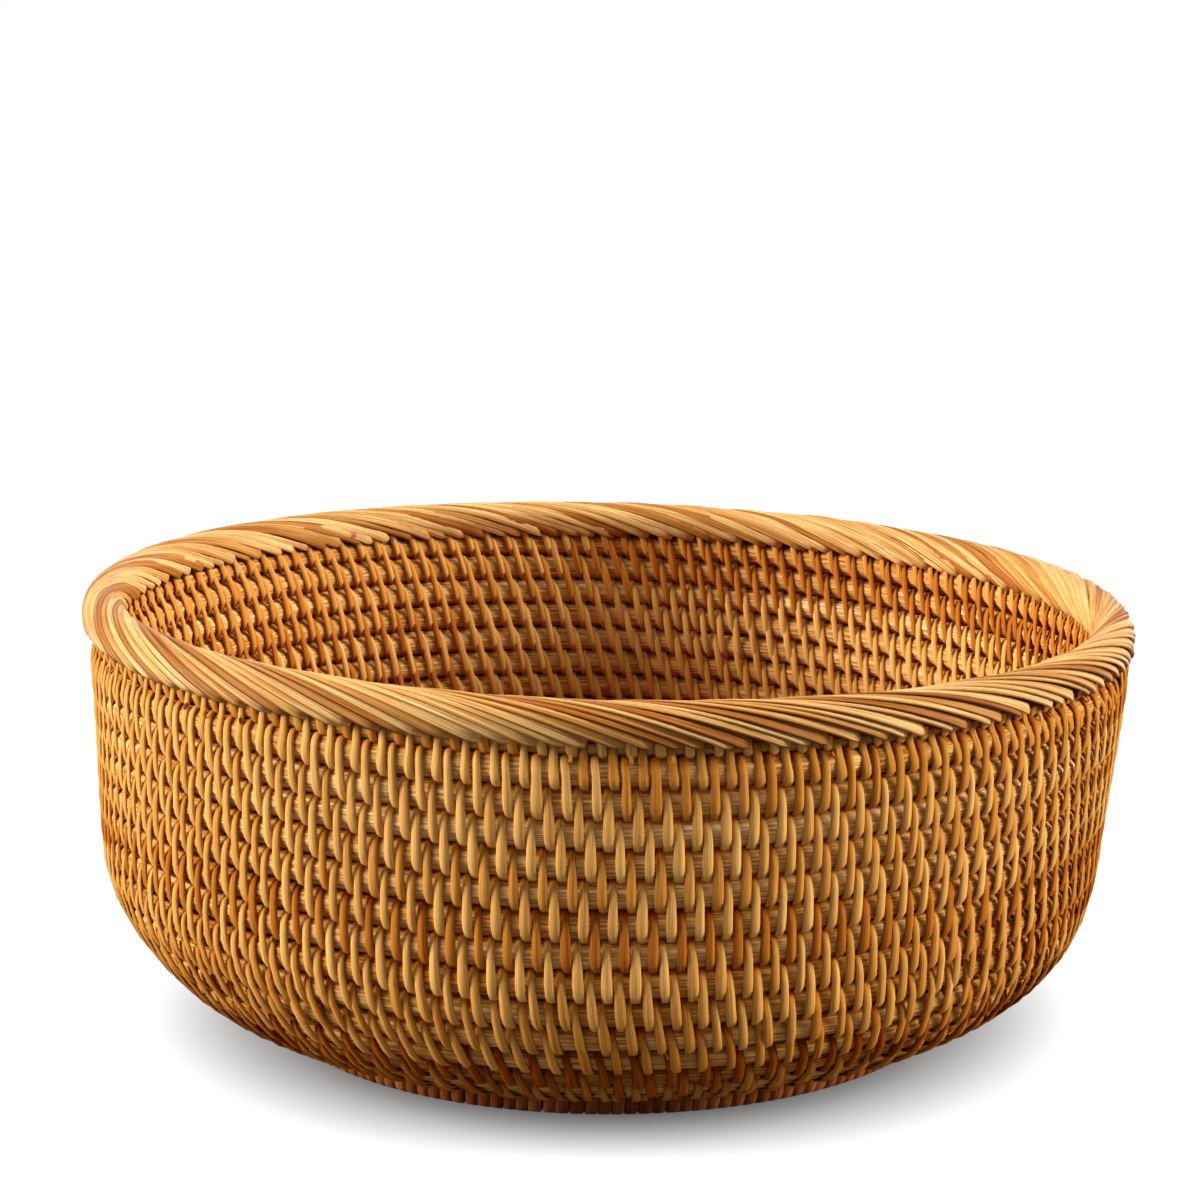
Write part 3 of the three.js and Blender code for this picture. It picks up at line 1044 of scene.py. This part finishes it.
def lay_foot_strip(bm, angle, tone):
    radius = FOOT_HALF_WIDTH - FOOT_STRIP_THICKNESS
    width = FOOT_STRIP_WIDTH * uneven(FOOT_WIDTH_SPREAD)
    rings, alongs = [], []
    start = rng.uniform(0, GRAIN_RANGE)
    for step in range(FOOT_STEPS + 1):
        share = 2 * step / FOOT_STEPS - 1
        here = angle + FOOT_SLANT * share / FOOT_RADIUS
        middle = foot_point(here, share, radius)
        outward = foot_point(here, share, radius + NUDGE) - middle
        before = foot_point(here, max(share - GLANCE, -1), radius)
        after = foot_point(here, min(share + GLANCE, 1), radius)
        ring = strip_ring(middle, after - before, outward, width, FOOT_STRIP_THICKNESS)
        rings.append([Vector((point.x, point.y, max(point.z, 0))) for point in ring])
        alongs.append(start + step * MM)
    lay(bm, rings, alongs, [tone] * len(rings), edge_shades(FOOT_EDGE_SHADE))


print("width of a foot strip in mm:", round(FOOT_STRIP_WIDTH / MM, 2))

# %% Lay the foot strips
FOOT_PLACE_SPREAD = 0.1
DARKEST_FOOT_STRIP = 0.5
bm = new_work()
for number in range(FOOT_STRIPS):
    place = number + rng.uniform(-FOOT_PLACE_SPREAD, FOOT_PLACE_SPREAD)
    lay_foot_strip(bm, math.tau * place / FOOT_STRIPS, rng.uniform(0, DARKEST_FOOT_STRIP))
foot_strips = finish_piece(bm, "foot_strips", foot_finish, ["foot_lapping"])
print("foot strips:", FOOT_STRIPS, "faces:", len(foot_strips.data.polygons))

# %% [markdown]
# ## Studio
# The photograph is a plain product shot: a large soft lamp on either side, the left one stronger, and a
# white floor that keeps a soft shadow close round the foot. Two broad suns stand for the lamps, a faint
# one above them reaches the base, and a dim white world is the light of the room. The floor is a plain
# grey, and a glow that the camera sees makes it white away from the foot. The glow fades towards the
# foot, so the soft shadow there is partly the floor's real shadow and partly painted by that fade.

# %% What the camera sees
# The camera sees the stage as white, directly and by way of a shiny or clear surface.
SEEING_RAYS = ("Is Camera Ray", "Is Glossy Ray", "Is Transmission Ray")


def seen_level(tree, unseen, seen):
    rays = tree.nodes.new("ShaderNodeLightPath")
    total = rays.outputs[SEEING_RAYS[0]]
    for name in SEEING_RAYS[1:]:
        either = tree.nodes.new("ShaderNodeMath")
        either.operation = "ADD"
        either.use_clamp = True
        tree.links.new(total, either.inputs[0])
        tree.links.new(rays.outputs[name], either.inputs[1])
        total = either.outputs[0]
    level = tree.nodes.new("ShaderNodeMapRange")
    level.inputs["To Min"].default_value = unseen
    level.inputs["To Max"].default_value = seen
    tree.links.new(total, level.inputs["Value"])
    return level.outputs[0]


print("rays that see a white stage:", len(SEEING_RAYS))

# %% Floor
FLOOR_REACH = 30
FLOOR_COLOUR = (0.2, 0.2, 0.2, 1)
# The glow is dim near the foot and full beyond GLOW_FAR: a painted soft shadow round the foot, over the
# floor's real one.
FLOOR_GLOW = 0.1
GLOW_NEAR = 92 * MM
GLOW_FAR = 149 * MM


def make_floor_finish():
    material = bpy.data.materials.new("white_floor")
    material.use_nodes = True
    tree = material.node_tree
    shader = tree.nodes["Principled BSDF"]
    shader.inputs["Base Color"].default_value = FLOOR_COLOUR
    shader.inputs["Roughness"].default_value = 1
    shader.inputs["Specular IOR Level"].default_value = 0
    place = tree.nodes.new("ShaderNodeTexCoord")
    distance = tree.nodes.new("ShaderNodeVectorMath")
    distance.operation = "LENGTH"
    tree.links.new(place.outputs["Object"], distance.inputs[0])
    glow = tree.nodes.new("ShaderNodeMapRange")
    glow.interpolation_type = "SMOOTHSTEP"
    glow.inputs["From Min"].default_value = GLOW_NEAR
    glow.inputs["From Max"].default_value = GLOW_FAR
    glow.inputs["To Min"].default_value = FLOOR_GLOW
    glow.inputs["To Max"].default_value = 1
    tree.links.new(distance.outputs["Value"], glow.inputs["Value"])
    tree.links.new(glow.outputs[0], shader.inputs["Emission Color"])
    tree.links.new(seen_level(tree, 0, 1), shader.inputs["Emission Strength"])
    return material


def make_floor():
    bm = bmesh.new()
    bmesh.ops.create_grid(bm, x_segments=1, y_segments=1, size=FLOOR_REACH)
    mesh = bpy.data.meshes.new("floor")
    bm.to_mesh(mesh)
    bm.free()
    mesh.materials.append(make_floor_finish())
    floor = bpy.data.objects.new("floor", mesh)
    bpy.context.collection.objects.link(floor)
    return floor


floor = make_floor()
print("stage:", floor.name, "with", floor.active_material.name)

# %% Lamps and room
ROOM_LIGHT = 0.15
SIDE_LAMP_SPREAD = math.radians(30)
TOP_LAMP_SPREAD = math.radians(60)


def make_world(strength):
    world = bpy.data.worlds.new("studio")
    world.use_nodes = True
    bpy.context.scene.world = world
    background = world.node_tree.nodes["Background"]
    background.inputs["Color"].default_value = (1, 1, 1, 1)
    world.node_tree.links.new(seen_level(world.node_tree, strength, 1), background.inputs["Strength"])


def make_sun(name, energy, spread, towards):
    light = bpy.data.lights.new(name, "SUN")
    light.energy = energy
    light.angle = spread
    lamp = bpy.data.objects.new(name, light)
    lamp.rotation_euler = Vector(towards).to_track_quat("-Z", "Y").to_euler()
    bpy.context.collection.objects.link(lamp)
    return lamp


make_world(ROOM_LIGHT)
lamps = [
    make_sun("left_box", energy=5.9, spread=SIDE_LAMP_SPREAD, towards=(1, 0.1, -0.42)),
    make_sun("right_box", energy=4.9, spread=SIDE_LAMP_SPREAD, towards=(-1, 0.1, -0.42)),
    make_sun("top_box", energy=0.6, spread=TOP_LAMP_SPREAD, towards=(0, 0, -1)),
]
print("lamps:", [lamp.name for lamp in lamps])

# %% [markdown]
# ## Camera
# The camera was fitted to the ellipse of the rim and the rows of the wall: about 0.9 m away and a little
# above, looking straight at the front.

# %% Camera at the photograph's angle
CAMERA_PLACE = (-2.6 * MM, -866.9 * MM, 294.3 * MM)
CAMERA_PITCH = math.radians(11.39)
CAMERA_LENS = 91.7
SENSOR_WIDTH = 36
CAMERA_REACH = 100
camera_data = bpy.data.cameras.new("camera")
camera_data.lens = CAMERA_LENS
camera_data.sensor_width = SENSOR_WIDTH
camera_data.clip_end = CAMERA_REACH
camera = bpy.data.objects.new("camera", camera_data)
camera.location = CAMERA_PLACE
camera.rotation_euler = (math.pi / 2 - CAMERA_PITCH, 0, 0)
bpy.context.collection.objects.link(camera)
bpy.context.scene.camera = camera
bpy.context.scene.view_settings.view_transform = "Standard"
print("the camera stands this far from the foot's middle, in metres:", round(camera.location.length, 2))
